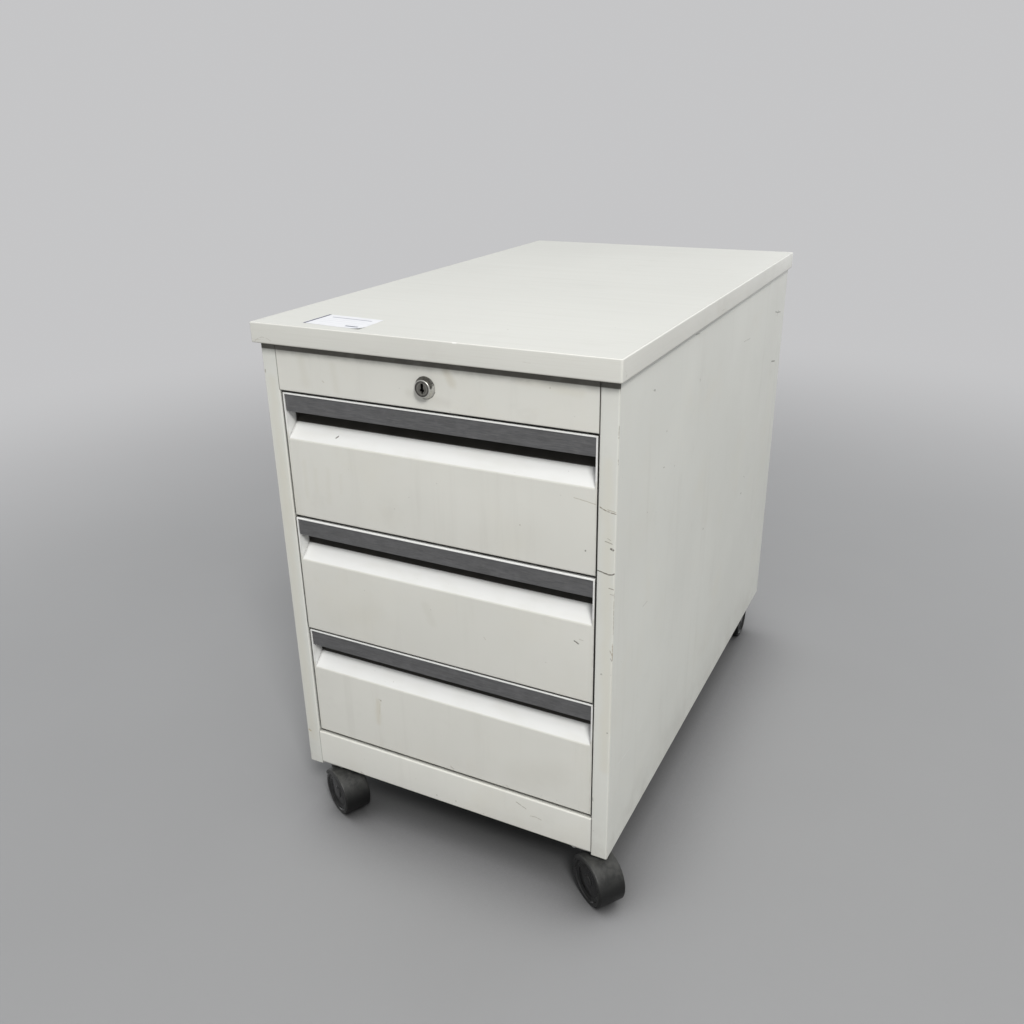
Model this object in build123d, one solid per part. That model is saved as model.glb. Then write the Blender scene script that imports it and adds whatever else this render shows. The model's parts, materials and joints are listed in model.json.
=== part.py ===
from build123d import *
import math
import os

os.makedirs("parts", exist_ok=True)

# Mobile office pedestal: a folded sheet-steel carcass with three equal drawers
# on full-extension slides, a central lock and four twin-wheel castors.
# Millimetres. The origin is on the floor under the centre of the carcass,
# +X to the right, +Y to the back, +Z up; the drawers open towards -Y.

# ---------------------------------------------------------------- dimensions
SHEET = 1.0                 # steel sheet of carcass and drawers
BODY_HALF_W = 215.0         # carcass 430 wide
BODY_HALF_D = 369.0         # carcass 738 deep
BODY_Z0, BODY_Z1 = 70.0, 644.0
POST_W = 20.0               # front face of each side panel
POST_RETURN = 18.0          # fold that runs back from the opening
POST_IN = BODY_HALF_W - POST_W

TOP_HALF_W = 220.0          # top board 440 x 751 x 23
TOP_Y0, TOP_Y1 = -378.0, 373.0
TOP_Z1 = 667.0
BAND = 2.0                  # edge band round the top board

FASCIA_Z0 = 589.5           # lower edge of the rail that carries the lock
PLINTH_Z0, PLINTH_Z1 = 73.0, 122.0

DRAWER_H = 152.5            # height of a drawer front
DRAWER_TOPS = {"top": 587.0, "middle": 432.0, "bottom": 277.0}
DRAWER_SET = {"top": 0.0, "middle": -0.8, "bottom": 0.9}   # how each front stands in the opening
DRAWER_HALF_W = 193.0
FRONT_Y = -367.0            # main face of a closed drawer, 2 behind the posts
EDGE_BELOW_TOP = 55.5       # front edge of the finger slope, below the drawer's top
SLOPE_DEPTH = 29.0          # 45 degree slope from the edge back to the recess wall
BORDER = 2.0                # white border left and right of the grip strip
STRIP_DROP = 22.3           # lower edge of the grip strip below the drawer's top
LIP = 2.0                   # height of the lip above the strip
POCKET_EDGE = 16.5          # how deep on the slope the dark pocket begins
POCKET_T = 1.2

TRAY_HALF_W = 182.0
TRAY_Y1 = 318.0
TRAY_UP = 12.0              # tray bottom above the front's lower edge
TRAY_DOWN = 30.0            # tray rim below the front's top

RAIL_Y0, RAIL_Y1 = -334.0, 306.0
RAIL_UP = 50.0              # slide centre above the tray bottom
RAIL_T = 1.2
RAIL_H = (22.5, 20.8, 19.1) # half heights: fixed, intermediate, drawer rail

LOCK_Z = 614.0
PLUG_R = 8.0
BARREL_R = 11.0
RUN_FIT = 0.05              # radial running clearance
CRANK_R = 8.0
CRANK_PIN_R = 2.0
LOCK_LIFT = 2 * CRANK_R * math.sin(math.radians(45))
HOOK_GAP = 0.5              # what is left between raised lug and drawer hook

SWIVEL_X, SWIVEL_Y = 185.0, 348.0
WHEEL_R = 30.0
TRAIL = 20.0
CASTOR_HALF_W = 18.0
HOOD_R = 33.0
WEB = 5.2                   # half thickness of the web between the two wheels
AXLE_R = 2.5
STEM_R = 4.0
PLATE_X, PLATE_Y = 38.0, 30.0
PLATE_T = 3.0
CASTORS = {                 # swivel centre, direction of trail in degrees
    "front_right": (SWIVEL_X, -SWIVEL_Y, -35.0),
    "front_left": (-SWIVEL_X, -SWIVEL_Y, -27.0),
    "rear_right": (SWIVEL_X, SWIVEL_Y, -90.0),
    "rear_left": (-SWIVEL_X, SWIVEL_Y, 145.0),
}


# ---------------------------------------------------------------- helpers
def block(x0, x1, y0, y1, z0, z1):
    return Pos((x0 + x1) / 2, (y0 + y1) / 2, (z0 + z1) / 2) * Box(abs(x1 - x0), abs(y1 - y0), abs(z1 - z0))


def cyl_z(x, y, r, z0, z1):
    return Pos(x, y, (z0 + z1) / 2) * Cylinder(r, z1 - z0)


def cyl_y(x, z, r, y0, y1):
    return Pos(x, (y0 + y1) / 2, z) * Rot(90, 0, 0) * Cylinder(r, y1 - y0)


def cyl_x(y, z, r, x0, x1):
    return Pos((x0 + x1) / 2, y, z) * Rot(0, 90, 0) * Cylinder(r, x1 - x0)


def outline(points, radii=None):
    """Closed flat outline with a tangent arc at each point that has a radius."""
    n = len(points)
    radii = radii or {}
    ins, outs, mids = [], [], []
    for i, p in enumerate(points):
        r = radii.get(i, 0.0)
        if not r:
            ins.append(p), outs.append(p), mids.append(None)
            continue
        a, b = points[i - 1], points[(i + 1) % n]
        ua = ((a[0] - p[0]), (a[1] - p[1]))
        ub = ((b[0] - p[0]), (b[1] - p[1]))
        la, lb = math.hypot(*ua), math.hypot(*ub)
        ua, ub = (ua[0] / la, ua[1] / la), (ub[0] / lb, ub[1] / lb)
        half = math.acos(max(-1, min(1, ua[0] * ub[0] + ua[1] * ub[1]))) / 2
        d = r / math.tan(half)
        bis = (ua[0] + ub[0], ua[1] + ub[1])
        lbis = math.hypot(*bis)
        c = r / math.sin(half)
        k = (c - r) / lbis
        ins.append((p[0] + ua[0] * d, p[1] + ua[1] * d))
        outs.append((p[0] + ub[0] * d, p[1] + ub[1] * d))
        mids.append((p[0] + bis[0] * k, p[1] + bis[1] * k))
    edges = []
    for i in range(n):
        if mids[i] is not None:
            edges.append(ThreePointArc(ins[i], mids[i], outs[i]))
        j = (i + 1) % n
        if math.hypot(outs[i][0] - ins[j][0], outs[i][1] - ins[j][1]) > 1e-6:
            edges.append(Line(outs[i], ins[j]))
    return Face(Wire(edges))


def folded(path, t, bend=0.6, bends=None):
    """Section of a folded sheet: the path is one face, the sheet lies to its right."""
    n = len(path)
    dirs = []
    for a, b in zip(path, path[1:]):
        l = math.hypot(b[0] - a[0], b[1] - a[1])
        dirs.append(((b[0] - a[0]) / l, (b[1] - a[1]) / l))
    nor = [(d[1], -d[0]) for d in dirs]
    other = []
    for i in range(n):
        if i == 0 or i == n - 1:
            k = nor[0] if i == 0 else nor[-1]
            other.append((path[i][0] + t * k[0], path[i][1] + t * k[1]))
        else:
            a, b = nor[i - 1], nor[i]
            q = 1 + a[0] * b[0] + a[1] * b[1]
            other.append((path[i][0] + t * (a[0] + b[0]) / q, path[i][1] + t * (a[1] + b[1]) / q))
    pts = list(path) + other[::-1]
    radii = {}
    for i in range(1, n - 1):
        r = (bends or {}).get(i, bend)
        turn = dirs[i - 1][0] * dirs[i][1] - dirs[i - 1][1] * dirs[i][0]
        radii[i] = r + t if turn < 0 else r
        radii[2 * n - 1 - i] = r if turn < 0 else r + t
    return outline(pts, radii)


def along_x(face, x0, x1):
    """Section drawn as (y, z), run from x0 to x1."""
    return extrude(Plane.YZ.offset(x0) * face, amount=x1 - x0, dir=(1, 0, 0))


def along_z(face, z0, z1):
    """Section drawn as (x, y), run from z0 to z1."""
    return extrude(Plane.XY.offset(z0) * face, amount=z1 - z0, dir=(0, 0, 1))


def along_y(face, y0, y1):
    """Section drawn as (x, z), run from y0 to y1."""
    return extrude(Plane(origin=(0, y1, 0), x_dir=(1, 0, 0), z_dir=(0, -1, 0)) * face,
                   amount=y1 - y0, dir=(0, -1, 0))


def both(shape):
    """A piece and its mirror image on the other side of the cabinet."""
    return solids_of([shape, mirror(shape, Plane.YZ)])


def solids_of(shapes):
    out = []
    for s in shapes:
        out.extend(s.solids())
    return Compound(children=out)


def drill(shape, tools):
    for t in tools:
        shape = shape - t
    return shape


def save(name, shape):
    export_step(shape, "parts/%s.step" % name)


# ---------------------------------------------------------------- carcass
side_section = folded([(BODY_HALF_W, BODY_HALF_D), (BODY_HALF_W, -BODY_HALF_D),
                       (POST_IN, -BODY_HALF_D), (POST_IN, -BODY_HALF_D + POST_RETURN)], SHEET)
side = along_z(side_section, BODY_Z0, BODY_Z1)
side += block(199, BODY_HALF_W - SHEET, -330, 349, BODY_Z1 - SHEET, BODY_Z1)

top_screw_xy = [(-150, -354), (150, -354), (-150, 340), (150, 340), (-206.5, 0), (206.5, 0)]
screw_shanks = [cyl_z(x, y, 2.0, 643, 658) for x, y in top_screw_xy]
side_right = drill(side, [screw_shanks[5]])
side_left = mirror(side_right, Plane.YZ)

back_panel = block(-214, 214, BODY_HALF_D - SHEET, BODY_HALF_D, 71, 643)
back_panel += block(213, 214, 350, 368, 71, 643)
back_panel += block(-214, -213, 350, 368, 71, 643)

bottom_panel = block(-214, 214, -365, 368, 70, 71)
for s in (-1, 1):
    bottom_panel -= block(s * 194.9, s * 196.1, -368.5, -350.9, 69, 72)
    bottom_panel += block(s * 213, s * 214, -349, 348, 71, 86)
bottom_panel += block(-212, 212, 367, 368, 71, 86)

plinth = along_x(folded([(-351, PLINTH_Z0), (-BODY_HALF_D, PLINTH_Z0), (-BODY_HALF_D, PLINTH_Z1),
                         (-341, PLINTH_Z1)], SHEET, 0.8), -POST_IN, POST_IN)

fascia = along_x(folded([(-349, FASCIA_Z0), (-BODY_HALF_D, FASCIA_Z0), (-BODY_HALF_D, BODY_Z1),
                         (-340, BODY_Z1)], SHEET, 0.6), -POST_IN, POST_IN)
fascia -= cyl_y(0, LOCK_Z, BARREL_R, -372, -360)
fascia = drill(fascia, screw_shanks[:2])

rear_rail = along_x(folded([(330, 625), (330, BODY_Z1), (349, BODY_Z1)], SHEET, 0.6), -198.5, 198.5)
rear_rail = drill(rear_rail, screw_shanks[2:4])

# top board with its edge band
board = block(-TOP_HALF_W + BAND, TOP_HALF_W - BAND, TOP_Y0 + BAND, TOP_Y1 - BAND, BODY_Z1, TOP_Z1)
board = drill(board, [cyl_z(x, y, 2.0, 643, 658) for x, y in top_screw_xy])
band = block(-TOP_HALF_W, TOP_HALF_W, TOP_Y0, TOP_Y1, BODY_Z1, TOP_Z1)
band = fillet(band.edges().filter_by(Axis.Z), 2.2)
band = fillet(band.faces().sort_by(Axis.Z)[-1].edges() + band.faces().sort_by(Axis.Z)[0].edges(), 1.2)
band -= block(-TOP_HALF_W + BAND, TOP_HALF_W - BAND, TOP_Y0 + BAND, TOP_Y1 - BAND, BODY_Z1 - 1, TOP_Z1 + 1)
top_screws = [cyl_z(x, y, 2.0, 643, 658) + cyl_z(x, y, 4.0, 640.6, 643) for x, y in top_screw_xy]

# runner uprights: a channel near the front and one near the back of each side
rail_z = {k: z - DRAWER_H + TRAY_UP + RAIL_UP for k, z in DRAWER_TOPS.items()}
slide_screw_at = [(y, z) for z in rail_z.values() for y in (-317.0, 291.0)]


def upright(y0, y1):
    return along_z(folded([(213.9, y1), (POST_IN, y1), (POST_IN, y0), (213.9, y0)][::-1], RAIL_T, 0.6), 88, 640)


rail_holes = [cyl_x(y, z, 2.0, 193.0, 199.5) for y, z in slide_screw_at]
uprights_right = [drill(upright(-334, -300), rail_holes), drill(upright(276, 306), rail_holes)]
uprights_left = [mirror(s, Plane.YZ) for s in uprights_right]


def channel(web_x, lip_x, half, t, y0, y1, z):
    """C section with its web at web_x and both flanges run to lip_x."""
    s = 1 if lip_x > web_x else -1
    c = block(web_x, web_x + s * t, y0, y1, z - half, z + half)
    c += block(web_x, lip_x, y0, y1, z + half - t, z + half)
    c += block(web_x, lip_x, y0, y1, z - half, z - half + t)
    return c


outer_right = [drill(channel(195, 184, RAIL_H[0], RAIL_T, RAIL_Y0, RAIL_Y1, z),
                     [cyl_x(y, z, 2.0, 193.0, 199.5) for y in (-317.0, 291.0)]) for z in rail_z.values()]
outer_left = [mirror(s, Plane.YZ) for s in outer_right]
slide_screws_r = [cyl_x(y, z, 2.0, 193.8, 199.5) + cyl_x(y, z, 3.6, 193.2, 193.8) for y, z in slide_screw_at]
slide_screws = slide_screws_r + [mirror(s, Plane.YZ) for s in slide_screws_r]

# ---------------------------------------------------------------- lock
collar = revolve(Plane.XY * outline([(PLUG_R + RUN_FIT, -375.6), (9.1, -375.6), (9.5, -375.2), (11.2, -370.3),
                                     (11.9, -369.7), (12.1, -369.0), (BARREL_R, -369.0), (BARREL_R, -343.0),
                                     (PLUG_R + RUN_FIT, -343.0)]), axis=Axis.Y)
barrel = Pos(0, 0, LOCK_Z) * collar
nut = along_y(Pos(0, LOCK_Z) * RegularPolygon(13.5, 6, major_radius=False), -368, -363)
nut -= cyl_y(0, LOCK_Z, BARREL_R, -369, -362)

plug = cyl_y(0, LOCK_Z, PLUG_R, -375.2, -344)
keyway = (block(-1.5, 1.5, -376, -363, LOCK_Z - 2.4, LOCK_Z + 5.7)
          + block(-2.6, 2.6, -376, -363, LOCK_Z - 2.9, LOCK_Z - 0.4)
          + block(-0.95, 0.95, -376, -363, LOCK_Z - 5.7, LOCK_Z - 2.6))
plug -= keyway

pin_x = -CRANK_R * math.cos(math.radians(45))
pin_z = LOCK_Z - CRANK_R * math.sin(math.radians(45))
rod = cyl_y(0, LOCK_Z, 3.0, -344, 340) + cyl_y(0, LOCK_Z, 12.0, 336, 340) + cyl_y(pin_x, pin_z, CRANK_PIN_R, 340, 351)

rod_bracket = block(-16, 16, 331, 333, 602, 642) - cyl_y(0, LOCK_Z, 3.0 + RUN_FIT, 330, 334)

hook_z = {k: z - DRAWER_H + TRAY_UP + 30.0 for k, z in DRAWER_TOPS.items()}    # tab of each drawer's hook
bar = block(-14, 14, 344, 347, 128, 630)
bar -= block(-11.0, -3.0, 343, 348, pin_z - CRANK_PIN_R - 0.5, pin_z + CRANK_PIN_R + 0.5)
for z in hook_z.values():
    tip = z - 8.0 - HOOK_GAP - LOCK_LIFT
    bar += block(-5, 5, 326, 344, tip - 14, tip - 10)
    bar += block(-5, 5, 326, 332, tip - 10, tip)


def guide(z0, z1):
    g = block(-15.7, 15.7, 342, 343.5, z0, z1)
    for s in (-1, 1):
        g += block(s * 14.5, s * 15.7, 342, 368, z0, z1)
        g += block(s * 14.5, s * 26, 366.8, 368, z0, z1)
    return g


guides = [guide(200, 220), guide(560, 580)]

# ---------------------------------------------------------------- castor mounts
plates, stems, castor_screws = [], [], []
for cx, cy, turn in CASTORS.values():
    holes = [(cx + i * 14.5, cy + j * 10.8) for i in (-1, 1) for j in (-1, 1)]
    p = fillet(block(cx - PLATE_X / 2, cx + PLATE_X / 2, cy - PLATE_Y / 2, cy + PLATE_Y / 2, 67, 70).edges().filter_by(Axis.Z), 3)
    p -= cyl_z(cx, cy, STEM_R, 66, 71)
    for hx, hy in holes:
        p -= cyl_z(hx, hy, 2.0, 66, 71)
        bottom_panel -= cyl_z(hx, hy, 2.0, 69, 72)
        castor_screws.append(cyl_z(hx, hy, 2.0, 67, 72.8) + cyl_z(hx, hy, 3.7, 65.2, 67))
    plates.append(p)
    stems.append(cyl_z(cx, cy, STEM_R, 36.5, 70))

save("side_panel_left", side_left)
save("side_panel_right", side_right)
save("back_panel", back_panel)
save("bottom_panel", bottom_panel)
save("front_plinth", plinth)
save("lock_fascia", fascia)
save("rear_top_rail", rear_rail)
save("top_board", board)
save("top_edge_band", band)
save("top_screws", solids_of(top_screws))
save("runner_uprights_left", solids_of(uprights_left))
save("runner_uprights_right", solids_of(uprights_right))
save("fixed_rails_left", solids_of(outer_left))
save("fixed_rails_right", solids_of(outer_right))
save("slide_screws", solids_of(slide_screws))
save("lock_barrel", barrel)
save("lock_nut", nut)
save("lock_plug", plug)
save("lock_rod", rod)
save("rod_bracket", rod_bracket)
save("lock_bar", bar)
save("lock_bar_guides", solids_of(guides))
save("castor_plates", solids_of(plates))
save("castor_stems", solids_of(stems))
save("castor_screws", solids_of(castor_screws))

# ---------------------------------------------------------------- drawers
for name, zt in DRAWER_TOPS.items():
    yf = FRONT_Y + DRAWER_SET[name]
    zb = zt - DRAWER_H
    ze = zt - EDGE_BELOW_TOP
    yb = yf + SLOPE_DEPTH
    # front: one folded sheet from the bottom flange up over the slope to the lip
    skin = folded([(yb, zb), (yf, zb), (yf, ze), (yb, ze + SLOPE_DEPTH), (yb, zt - SHEET),
                   (yf + SHEET, zt - SHEET), (yf + SHEET, zt - LIP)], SHEET,
                  bends={1: 1.2, 2: 2.4, 3: 1.5, 4: 0.6, 5: 0.4})
    front = along_x(skin, -DRAWER_HALF_W + BORDER, DRAWER_HALF_W - BORDER)
    end = outline([(yf, zb), (yf, zt), (yb + SHEET, zt), (yb + SHEET, zb)], {0: 2.2, 1: 1.4})
    front += along_x(end, -DRAWER_HALF_W, -DRAWER_HALF_W + BORDER)
    front += along_x(end, DRAWER_HALF_W - BORDER, DRAWER_HALF_W)
    save("drawer_front_" + name, front)

    inner = DRAWER_HALF_W - BORDER - 0.2
    strip = block(-inner, inner, yf + SHEET, yf + 2.8, zt - STRIP_DROP, zt - SHEET - 0.6)
    save("grip_strip_" + name, strip)

    # dark pocket behind the strip: roof, back and lip on the slope, with closed ends
    lift = 0.2 * math.sqrt(2)
    bx, bz = yf + SLOPE_DEPTH - 0.2, zt - SHEET - 0.2
    path = [(yf + 2.8, bz), (bx, bz), (bx, ze + SLOPE_DEPTH - 0.2 + lift), (yf + POCKET_EDGE, ze + POCKET_EDGE + lift)]
    pocket = along_x(folded(path, POCKET_T, 0.5), -inner + 1.0, inner - 1.0)
    cap = outline([(yf + POCKET_EDGE, bz), path[1], path[2], path[3]])
    pocket += along_x(cap, -inner, -inner + 1.0)
    pocket += along_x(cap, inner - 1.0, inner)
    save("grip_pocket_" + name, pocket)

    # tray, with the hook that the lock bar works on
    t0, t1 = zb + TRAY_UP, zt - TRAY_DOWN
    y0, y1 = yb + SHEET, TRAY_Y1 + DRAWER_SET[name]
    w = TRAY_HALF_W
    tray = block(-w, w, y0, y1, t0, t1) - block(-w + SHEET, w - SHEET, y0 + SHEET, y1 - SHEET, t0 + SHEET, t1 + 1)
    hz = hook_z[name]
    tray += block(-9, 9, y1, y1 + 18, hz, hz + 1.5)
    tray += block(-9, 9, y1 + 16.5, y1 + 18, hz - 8, hz + 1.5)
    save("drawer_tray_" + name, tray)

    # slides: drawer rail on the tray, intermediate rail between it and the fixed rail
    z = rail_z[name]
    save("drawer_rails_" + name, both(channel(w, 190.6, RAIL_H[2], RAIL_T, RAIL_Y0 + 2, RAIL_Y1, z)))
    save("middle_rails_" + name, both(channel(192.8, 184.0, RAIL_H[1], RAIL_T, RAIL_Y0, RAIL_Y1, z)))

# ---------------------------------------------------------------- castors
# Local frame: the swivel axis is the z axis, the wheels trail along +x, the axle runs along y.
a0, a1 = math.radians(-28), math.radians(142)
far = 60.0
sector = outline([(TRAIL, WHEEL_R)] + [(TRAIL + far * math.cos(a), WHEEL_R + far * math.sin(a))
                                       for a in (a0, math.radians(30), math.radians(90), a1)])


def disc(r, y0, y1):
    return cyl_y(TRAIL, WHEEL_R, r, y0, y1)


wedge = along_y(sector, -30, 30)
shell = disc(HOOD_R, -CASTOR_HALF_W, CASTOR_HALF_W)
shell = fillet(shell.edges(), 2.0)
bay = disc(31.3, WEB, 16.9) + disc(28.6, 16.0, 19.0) + disc(31.3, -16.9, -WEB) + disc(28.6, -19.0, -16.0)
hood = (shell - disc(31.3, -16.9, 16.9) - disc(28.6, -19, 19)) & wedge
web = disc(32.0, -WEB, WEB) & along_y(outline([(TRAIL, WHEEL_R), (TRAIL + 60, WHEEL_R + 12), (TRAIL + 60, 100),
                                               (TRAIL - 60, 100), (TRAIL - 60, WHEEL_R + 6)]), -10, 10)
web += disc(9.0, -WEB, WEB)
web += block(-6.5, 12, -WEB, WEB, 34, 50)
neck = cyl_z(0, 0, 10.5, 40, 66.4)
neck = neck - bay
body = hood + web + neck
body = body - cyl_z(0, 0, STEM_R + RUN_FIT, 30, 70)
body = body - disc(AXLE_R, -20, 20)
bodies = sorted(body.solids(), key=lambda s: -s.volume)
hood_body = bodies[0]

axle = disc(AXLE_R, -15.2, 15.2)

half = outline([(AXLE_R + RUN_FIT, 5.7), (WHEEL_R, 5.7), (WHEEL_R, 16.4), (25.5, 16.4), (24.5, 14.6), (8.5, 14.2),
                (7.5, 15.8), (AXLE_R + RUN_FIT, 15.8)], {1: 1.0, 2: 1.6})
wheel = revolve(Plane.XY * half, axis=Axis.Y)          # drawn as (radius, along the axle)
wheel_a = Pos(TRAIL, 0, WHEEL_R) * wheel
wheel_b = Pos(TRAIL, 0, WHEEL_R) * mirror(wheel, Plane.XZ)

for name, (cx, cy, turn) in CASTORS.items():
    place = Pos(cx, cy, 0) * Rot(0, 0, turn)
    save("castor_hood_" + name, place * hood_body)
    save("castor_axle_" + name, place * axle)
    save("castor_wheel_a_" + name, place * wheel_a)
    save("castor_wheel_b_" + name, place * wheel_b)
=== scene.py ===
import bpy, bmesh, json, math
from mathutils import Vector, Matrix

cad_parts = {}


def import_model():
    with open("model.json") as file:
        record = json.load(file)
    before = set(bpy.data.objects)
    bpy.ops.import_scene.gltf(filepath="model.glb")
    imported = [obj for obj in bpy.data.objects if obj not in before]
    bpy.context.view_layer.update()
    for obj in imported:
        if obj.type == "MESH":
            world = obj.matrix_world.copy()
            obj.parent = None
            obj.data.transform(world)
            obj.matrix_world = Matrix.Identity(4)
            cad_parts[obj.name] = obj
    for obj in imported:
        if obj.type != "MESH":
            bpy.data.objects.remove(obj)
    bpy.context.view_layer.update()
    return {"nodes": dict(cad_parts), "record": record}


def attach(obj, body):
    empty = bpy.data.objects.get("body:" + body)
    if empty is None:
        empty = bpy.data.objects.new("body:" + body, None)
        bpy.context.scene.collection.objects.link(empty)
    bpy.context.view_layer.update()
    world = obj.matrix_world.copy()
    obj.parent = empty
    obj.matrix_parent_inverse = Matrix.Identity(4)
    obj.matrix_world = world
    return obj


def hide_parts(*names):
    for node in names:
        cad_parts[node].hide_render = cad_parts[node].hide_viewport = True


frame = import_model()
CAD = frame["nodes"]
scene = bpy.context.scene
MM = 0.001

BODY_OF = {}
for _b, _members in frame["record"]["behaviour"]["bodies"].items():
    for _n in _members:
        BODY_OF[_n] = _b
SLOT_OF = {s["node"]: s["material_slot"] for s in frame["record"]["subparts"]}
DRAWERS = {"top": (587.0, 0.0), "middle": (432.0, -0.8), "bottom": (277.0, 0.9)}
CASTORS = {"front_right": (185.0, -348.0, -35.0), "front_left": (-185.0, -348.0, -27.0),
           "rear_right": (185.0, 348.0, -90.0), "rear_left": (-185.0, 348.0, 145.0)}


# ------------------------------------------------------------------ camera
def make_camera():
    yaw, pitch, roll = 0.4752, 0.4029, -0.0173
    f = Vector((-math.sin(yaw) * math.cos(pitch), math.cos(yaw) * math.cos(pitch), -math.sin(pitch)))
    r = f.cross(Vector((0, 0, 1))).normalized()
    u = r.cross(f)
    r2 = math.cos(roll) * r + math.sin(roll) * u
    u2 = -math.sin(roll) * r + math.cos(roll) * u
    data = bpy.data.cameras.new("camera")
    data.sensor_width = 36.0
    data.lens = 36.0 * 938.97 / 1024.0
    data.clip_start, data.clip_end = 0.05, 60.0
    cam = bpy.data.objects.new("camera", data)
    scene.collection.objects.link(cam)
    p = Vector((0.51192, -1.17147, 0.87593))
    cam.matrix_world = Matrix(((r2.x, u2.x, -f.x, p.x), (r2.y, u2.y, -f.y, p.y), (r2.z, u2.z, -f.z, p.z), (0, 0, 0, 1)))
    scene.camera = cam


make_camera()
scene.view_settings.view_transform = "Standard"
scene.view_settings.look = "None"
scene.view_settings.exposure = 0.0
scene.view_settings.gamma = 1.0


# ------------------------------------------------------------------ shader graph helper
class Graph:
    """A material's node graph, with short calls for the nodes that it is built from."""

    def __init__(self, name):
        self.mat = bpy.data.materials.new(name)
        self.mat.use_nodes = True
        self.nt = self.mat.node_tree
        self.nt.nodes.clear()
        out = self.node("ShaderNodeOutputMaterial")
        self.bsdf = self.node("ShaderNodeBsdfPrincipled")
        self.nt.links.new(self.bsdf.outputs["BSDF"], out.inputs["Surface"])
        self.P = self.node("ShaderNodeTexCoord").outputs["Object"]
        self._xyz = None
        self.last = None
        self.heights = []

    def node(self, kind, **props):
        n = self.nt.nodes.new(kind)
        for k, v in props.items():
            setattr(n, k, v)
        return n

    def put(self, socket, value):
        if isinstance(value, bpy.types.NodeSocket):
            self.nt.links.new(value, socket)
        else:
            socket.default_value = value

    def m(self, op, a, b=0.0, c=0.0, clamp=False):
        n = self.node("ShaderNodeMath", operation=op, use_clamp=clamp)
        self.put(n.inputs[0], a)
        self.put(n.inputs[1], b)
        self.put(n.inputs[2], c)
        return n.outputs[0]

    def v(self, op, a, b=(0, 0, 0), scale=None):
        n = self.node("ShaderNodeVectorMath", operation=op)
        self.put(n.inputs[0], a)
        self.put(n.inputs[1], b)
        if scale is not None:
            self.put(n.inputs["Scale"], scale)
        return n.outputs["Value"] if op in ("DOT_PRODUCT", "LENGTH", "DISTANCE") else n.outputs[0]

    @property
    def xyz(self):
        if self._xyz is None:
            n = self.node("ShaderNodeSeparateXYZ")
            self.put(n.inputs[0], self.P)
            self._xyz = n.outputs
        return self._xyz

    def join(self, x, y, z):
        n = self.node("ShaderNodeCombineXYZ")
        for i, s in enumerate((x, y, z)):
            self.put(n.inputs[i], s)
        return n.outputs[0]

    def noise(self, scale, detail=2.0, rough=0.5, stretch=None, shift=(0, 0, 0), vec=None, dist=0.0):
        vec = vec or self.P
        if stretch is not None:
            vec = self.v("MULTIPLY", vec, stretch)
        if any(shift):
            vec = self.v("ADD", vec, shift)
        n = self.node("ShaderNodeTexNoise")
        self.put(n.inputs["Vector"], vec)
        n.inputs["Scale"].default_value = scale
        n.inputs["Detail"].default_value = detail
        n.inputs["Roughness"].default_value = rough
        n.inputs["Distortion"].default_value = dist
        return n.outputs["Fac"]

    def cells(self, scale, feature="F1", vec=None, out="Distance", rand=1.0):
        n = self.node("ShaderNodeTexVoronoi", feature=feature)
        self.put(n.inputs["Vector"], vec or self.P)
        n.inputs["Scale"].default_value = scale
        n.inputs["Randomness"].default_value = rand
        return n.outputs[out]

    def step(self, value, lo, hi, smooth=True, to=(0.0, 1.0)):
        n = self.node("ShaderNodeMapRange", interpolation_type="SMOOTHSTEP" if smooth else "LINEAR")
        n.clamp = True
        self.put(n.inputs["Value"], value)
        self.put(n.inputs["From Min"], lo)
        self.put(n.inputs["From Max"], hi)
        self.put(n.inputs["To Min"], to[0])
        self.put(n.inputs["To Max"], to[1])
        return n.outputs["Result"]

    def mix(self, fac, a, b, mode="MIX"):
        n = self.node("ShaderNodeMix", data_type="RGBA", blend_type=mode)
        self.put(n.inputs["Factor"], fac)
        for key, val in (("A", a), ("B", b)):
            s = [i for i in n.inputs if i.name == key and i.type == "RGBA"][0]
            self.put(s, (*val, 1.0) if isinstance(val, tuple) and len(val) == 3 else val)
        return [o for o in n.outputs if o.type == "RGBA"][0]

    def near(self, points, width, soft=0.5, wobble=None):
        """Mask along a line of points in millimetres, width in millimetres, 1 on the line and 0 outside it."""
        p = wobble or self.P
        if self.last is not None:
            p = self.v("ADD", p, self.v("SCALE", (1e-7, 1e-7, 1e-7), scale=self.last))
        best = None
        pts = [Vector(q) * MM for q in points]
        if len(pts) == 1:
            best = self.v("DISTANCE", p, tuple(pts[0]))
        for a, b in zip(pts, pts[1:]):
            ab = b - a
            rel = self.v("SUBTRACT", p, tuple(a))
            t = self.m("MULTIPLY", self.v("DOT_PRODUCT", rel, tuple(ab)), 1.0 / ab.length_squared, clamp=True)
            foot = self.v("SCALE", tuple(ab), scale=t)
            d = self.v("DISTANCE", rel, foot)
            best = d if best is None else self.m("MINIMUM", best, d)
        self.last = self.step(best, width * MM * 0.5, width * MM * 0.5 * (1 - soft))
        return self.last

    def top_of(self, masks):
        out = None
        for k in masks:
            out = k if out is None else self.m("MAXIMUM", out, k)
        return out

    def wobbled(self, amount, scale=160.0, detail=3.0):
        n = self.node("ShaderNodeTexNoise")
        self.put(n.inputs["Vector"], self.P)
        n.inputs["Scale"].default_value = scale
        n.inputs["Detail"].default_value = detail
        off = self.v("SUBTRACT", n.outputs["Color"], (0.5, 0.5, 0.5))
        return self.v("ADD", self.P, self.v("SCALE", off, scale=amount * MM * 2))

    def bump(self, height, distance, strength=1.0):
        """Adds a height in 0..1 whose full step is distance in millimetres."""
        self.heights.append((height, distance * MM, strength))

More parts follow.
